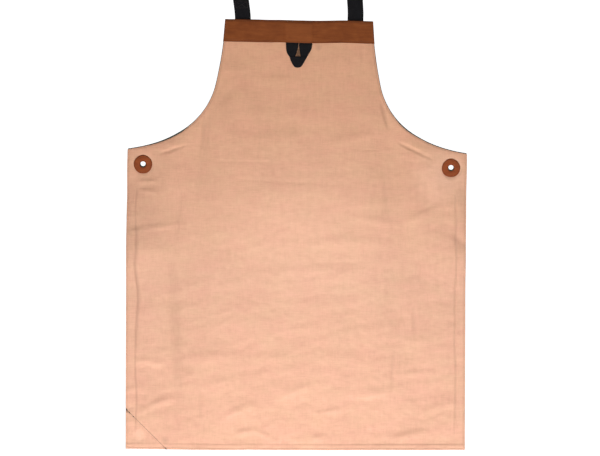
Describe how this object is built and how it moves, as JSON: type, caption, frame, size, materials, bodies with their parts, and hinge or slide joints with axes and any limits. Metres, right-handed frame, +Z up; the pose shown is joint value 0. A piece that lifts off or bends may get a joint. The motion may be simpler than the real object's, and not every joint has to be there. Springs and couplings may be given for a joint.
{
  "type": "butcher apron",
  "caption": "Two-layer canvas butcher apron with a leather-banded bib, leather-ringed waist eyelets, a webbing hang loop and an adjustable webbing neck strap.",
  "frame": {"origin": "the middle of the neck strap at the back of the wearer's neck, from which the apron hangs", "axes": "+X to the right of a person who faces the apron's front, +Y away from that person, +Z up; the cloth hangs in a plane of constant Y"},
  "size_m": [0.7, 0.1361, 1.1007],
  "materials": {
    "face_canvas": "peach-tan cotton canvas, plain weave",
    "back_canvas": "grey-green cotton canvas, plain weave",
    "leather": "brown full-grain leather, matt",
    "webbing": "black cotton webbing",
    "tan_thread": "tan sewing thread",
    "dark_thread": "dark sewing thread",
    "buckle_metal": "nickel-plated steel, lightly worn"
  },
  "bodies": {
    "neck_strap": {"neck_strap": "webbing", "strap_tab": "webbing", "strap_fold": "webbing", "strap_ring": "buckle_metal", "tab_tack": "dark_thread"},
    "bib": {"bib_face": "face_canvas", "bib_back": "back_canvas", "band_front": "leather", "band_back": "leather", "left_washer": "leather", "right_washer": "leather", "left_strap_end": "webbing", "right_strap_end": "webbing", "hang_loop_end": "webbing", "band_stitching": "tan_thread", "left_washer_stitching": "tan_thread", "right_washer_stitching": "tan_thread", "bib_edge_stitching": "tan_thread", "strap_end_tacks": "dark_thread"},
    "skirt": {"skirt_face": "face_canvas", "skirt_back": "back_canvas", "corner_patch": "leather", "skirt_edge_stitching": "tan_thread", "corner_stitching": "dark_thread"},
    "hang_loop": {"hang_loop": "webbing"},
    "strap_slider": {"strap_slider": "buckle_metal", "slider_loop": "webbing"}
  },
  "joints": [
    {"name": "bib_swing", "type": "hinge", "parent": "neck_strap", "child": "bib", "pos_m": [0, -0.12845, -0.199], "axis": [-1, 0, 0], "range_deg": [-45, 90]},
    {"name": "waist_fold", "type": "hinge", "parent": "bib", "child": "skirt", "pos_m": [0, -0.13, -0.535], "axis": [-1, 0, 0], "range_deg": [-40, 110]},
    {"name": "hang_loop_flip", "type": "hinge", "parent": "bib", "child": "hang_loop", "pos_m": [0, -0.1346, -0.2485], "axis": [-1, 0, 0], "range_deg": [0, 170]},
    {"name": "strap_adjust", "type": "slide", "parent": "neck_strap", "child": "strap_slider", "axis": [0, 0, 1], "range_m": [0, 0.04]}
  ]
}
